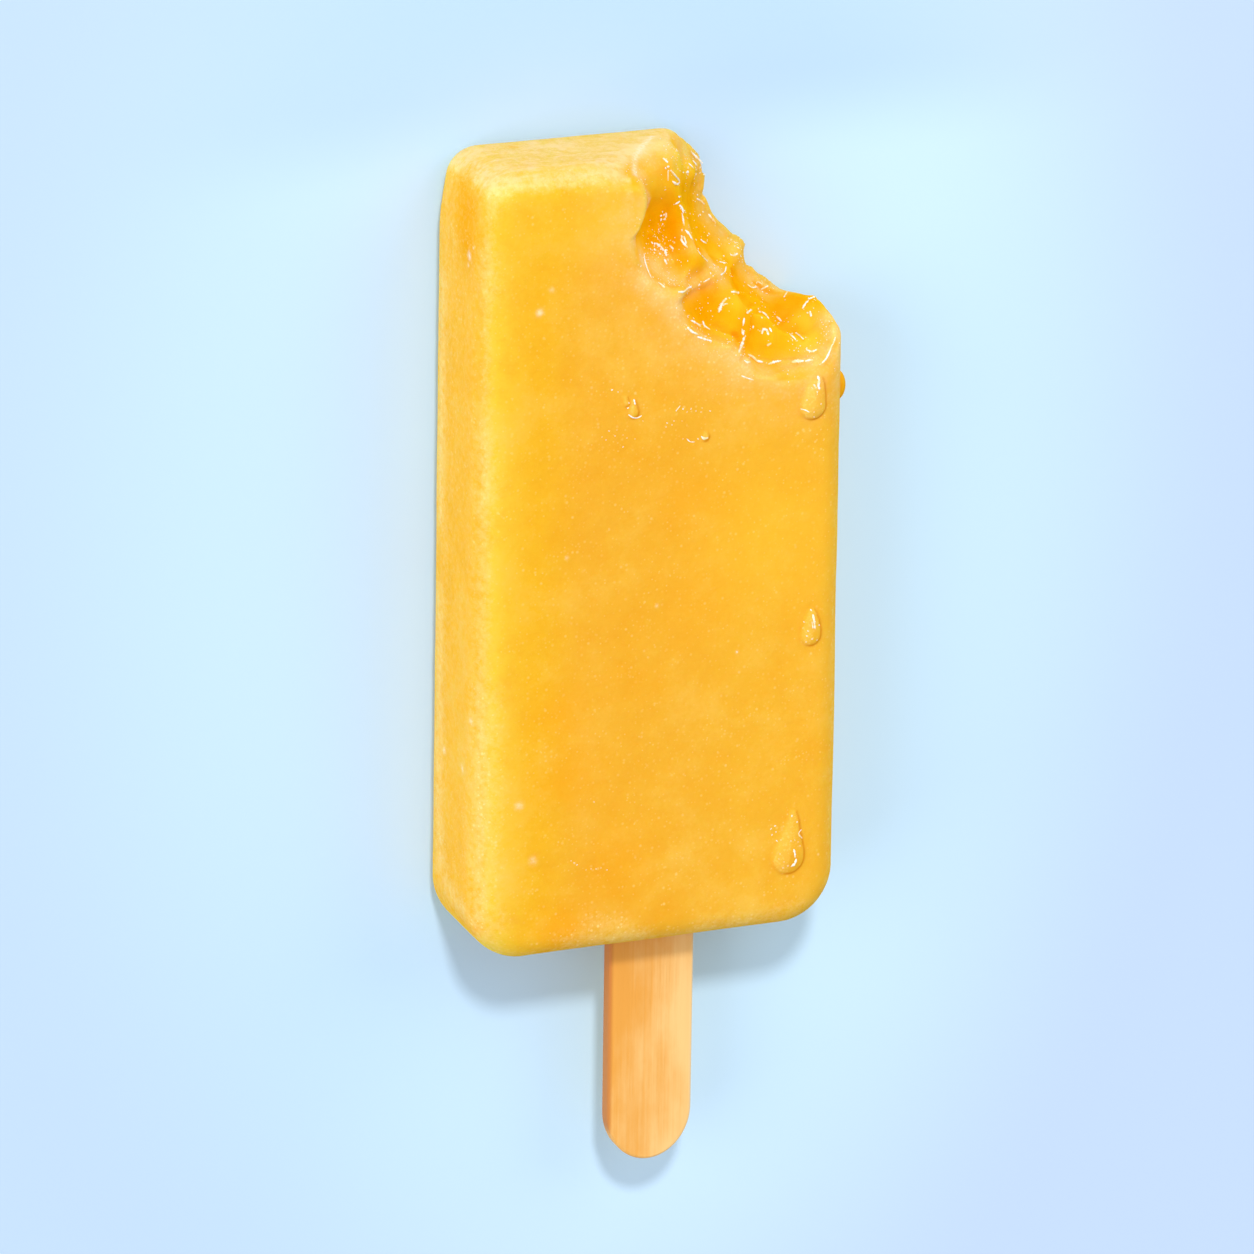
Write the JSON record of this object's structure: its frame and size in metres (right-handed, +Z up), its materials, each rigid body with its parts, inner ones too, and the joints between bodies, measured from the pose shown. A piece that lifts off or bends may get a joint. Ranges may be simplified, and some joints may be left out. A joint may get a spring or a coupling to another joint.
{
  "type": "ice lolly",
  "caption": "Flat rectangular fruit ice lolly on a wooden stick, with one corner bitten off and melt drops on its face.",
  "frame": {"origin": "middle of the bar's flat back face, which lies on the ground", "axes": "+X across the bar, +Y from the stick towards the bar's top, +Z up, out of the front face"},
  "size_m": [0.0436, 0.1173, 0.0163],
  "materials": {
    "fruit_ice": "frozen yellow fruit ice: frosted faces, wet and glossy in the bite",
    "stick_wood": "smooth pale birch with fine grain, bare"
  },
  "bodies": {
    "root": {"ice_bar": "fruit_ice", "stick": "stick_wood"}
  },
  "joints": []
}
